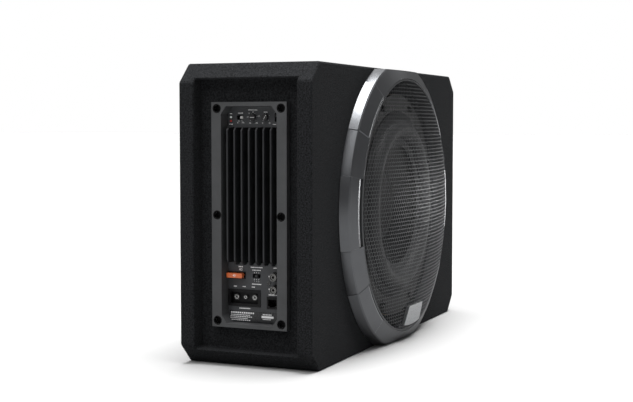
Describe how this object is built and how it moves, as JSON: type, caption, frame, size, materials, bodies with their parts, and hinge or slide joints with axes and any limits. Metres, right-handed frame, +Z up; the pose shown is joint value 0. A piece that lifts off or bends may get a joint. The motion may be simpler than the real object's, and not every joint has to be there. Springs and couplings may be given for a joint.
{
  "type": "powered car subwoofer",
  "caption": "Shallow carpeted car subwoofer box with a domed mesh grille in a faceted trim ring on its front and a recessed amplifier with controls in one end.",
  "frame": {"origin": "centre of the enclosure's underside, on the bottom carpet, midway between its front and back faces", "axes": "+X along the box away from the amplifier end, +Y towards the back so the driver faces -Y, +Z up"},
  "size_m": [0.5, 0.1984, 0.33],
  "materials": {
    "mdf": "raw fibreboard",
    "batten": "sawn",
    "wadding": "fluffy polyester",
    "carpet": "needled felt",
    "foam": "closed-cell foam",
    "black_steel": "satin black",
    "black_screw": "blackened",
    "rubber": "matt",
    "cone_paper": "coated pulp",
    "former": "polyimide",
    "copper": "enamelled wire",
    "spider_cloth": "doped cotton",
    "plated_steel": "zinc plated",
    "ferrite": "matt grey",
    "terminal_plastic": "moulded black",
    "lead_jacket": "pvc",
    "ring_paint": "satin gunmetal",
    "grille_steel": "powder coated",
    "badge": "brushed",
    "amp_plastic": "fine spark texture",
    "sink_aluminium": "black anodised",
    "panel": "satin",
    "light_lens": "diffused",
    "lever_plastic": "moulded",
    "pot_metal": "pressed",
    "knob_plastic": "moulded",
    "fuse_plastic": "translucent orange",
    "jack_nickel": "nickel plated",
    "label": "printed film",
    "board": "solder mask",
    "can": "sleeved can",
    "winding": "enamelled winding",
    "chip": "moulded",
    "cover": "moulded"
  },
  "bodies": {
    "root": {"front_baffle": "mdf", "back_board": "mdf", "top_board": "mdf", "bottom_board": "mdf", "amp_end_panel": "mdf", "far_end_panel": "mdf", "corner_cleats": "batten", "wadding": "wadding", "carpet_wrap": "carpet", "carpet_bottom": "carpet", "recess_carpet": "carpet", "driver_gasket": "foam", "amp_gasket": "foam", "driver_frame": "black_steel", "driver_screws": "black_screw", "amp_screws": "black_screw", "surround": "rubber", "magnet_boot": "rubber", "spider": "spider_cloth", "top_plate": "plated_steel", "yoke": "plated_steel", "input_screw": "plated_steel", "magnet": "ferrite", "driver_terminals": "terminal_plastic", "fuse_holder": "terminal_plastic", "input_block": "terminal_plastic", "terminal_block": "terminal_plastic", "remote_socket": "terminal_plastic", "switch_bodies": "terminal_plastic", "speaker_lead": "lead_jacket", "halo_ring": "ring_paint", "grille": "grille_steel", "grille_badge": "badge", "amp_plate": "amp_plastic", "heat_sink": "sink_aluminium", "control_panel": "panel", "connector_panel": "panel", "status_lights": "light_lens", "control_pots": "pot_metal", "input_jacks": "jack_nickel", "label_plate": "label", "circuit_board": "board", "capacitors": "can", "transformer": "winding", "power_transistors": "chip", "amp_rear_cover": "cover"},
    "cone_assembly": {"cone": "cone_paper", "dust_cap": "cone_paper", "coil_former": "former", "voice_coil": "copper"},
    "phase_lever": {"phase_switch_lever": "lever_plastic"},
    "mode_lever": {"mode_switch_lever": "lever_plastic"},
    "level_lever": {"level_switch_lever": "lever_plastic"},
    "crossover": {"crossover_knob": "knob_plastic"},
    "gain": {"gain_knob": "knob_plastic"},
    "fuse": {"blade_fuse": "fuse_plastic"},
    "earth_clamp": {"earth_screw": "plated_steel"},
    "remote_clamp": {"remote_screw": "plated_steel"},
    "supply_clamp": {"supply_screw": "plated_steel"}
  },
  "joints": [
    {"name": "cone_stroke", "type": "slide", "parent": "root", "child": "cone_assembly", "axis": [0, -1, 0], "range_m": [-0.01, 0.01], "stiffness_N_per_m": 5500, "deforming": ["surround", "spider"]},
    {"name": "phase_switch", "type": "slide", "parent": "root", "child": "phase_lever", "axis": [0, 1, 0], "range_m": [0, 0.0038]},
    {"name": "mode_switch", "type": "slide", "parent": "root", "child": "mode_lever", "axis": [0, 1, 0], "range_m": [-0.0026, 0.0026]},
    {"name": "level_switch", "type": "slide", "parent": "root", "child": "level_lever", "axis": [0, 0, -1], "range_m": [0, 0.004]},
    {"name": "crossover_turn", "type": "hinge", "parent": "root", "child": "crossover", "pos_m": [-0.2265, 0.002, 0.271], "axis": [-1, 0, 0], "range_deg": [-135, 135]},
    {"name": "gain_turn", "type": "hinge", "parent": "root", "child": "gain", "pos_m": [-0.2265, -0.013, 0.271], "axis": [-1, 0, 0], "range_deg": [-135, 135]},
    {"name": "fuse_pull", "type": "slide", "parent": "root", "child": "fuse", "axis": [-1, 0, 0], "range_m": [0, 0.018]},
    {"name": "earth_screw_turn", "type": "hinge", "parent": "root", "child": "earth_clamp", "pos_m": [-0.2197, 0.0245, 0.0738], "axis": [-1, 0, 0], "range_deg": [0, 720]},
    {"name": "remote_screw_turn", "type": "hinge", "parent": "root", "child": "remote_clamp", "pos_m": [-0.2197, 0.0136, 0.0738], "axis": [-1, 0, 0], "range_deg": [0, 720]},
    {"name": "supply_screw_turn", "type": "hinge", "parent": "root", "child": "supply_clamp", "pos_m": [-0.2197, 0.0025, 0.0738], "axis": [-1, 0, 0], "range_deg": [0, 720]}
  ]
}
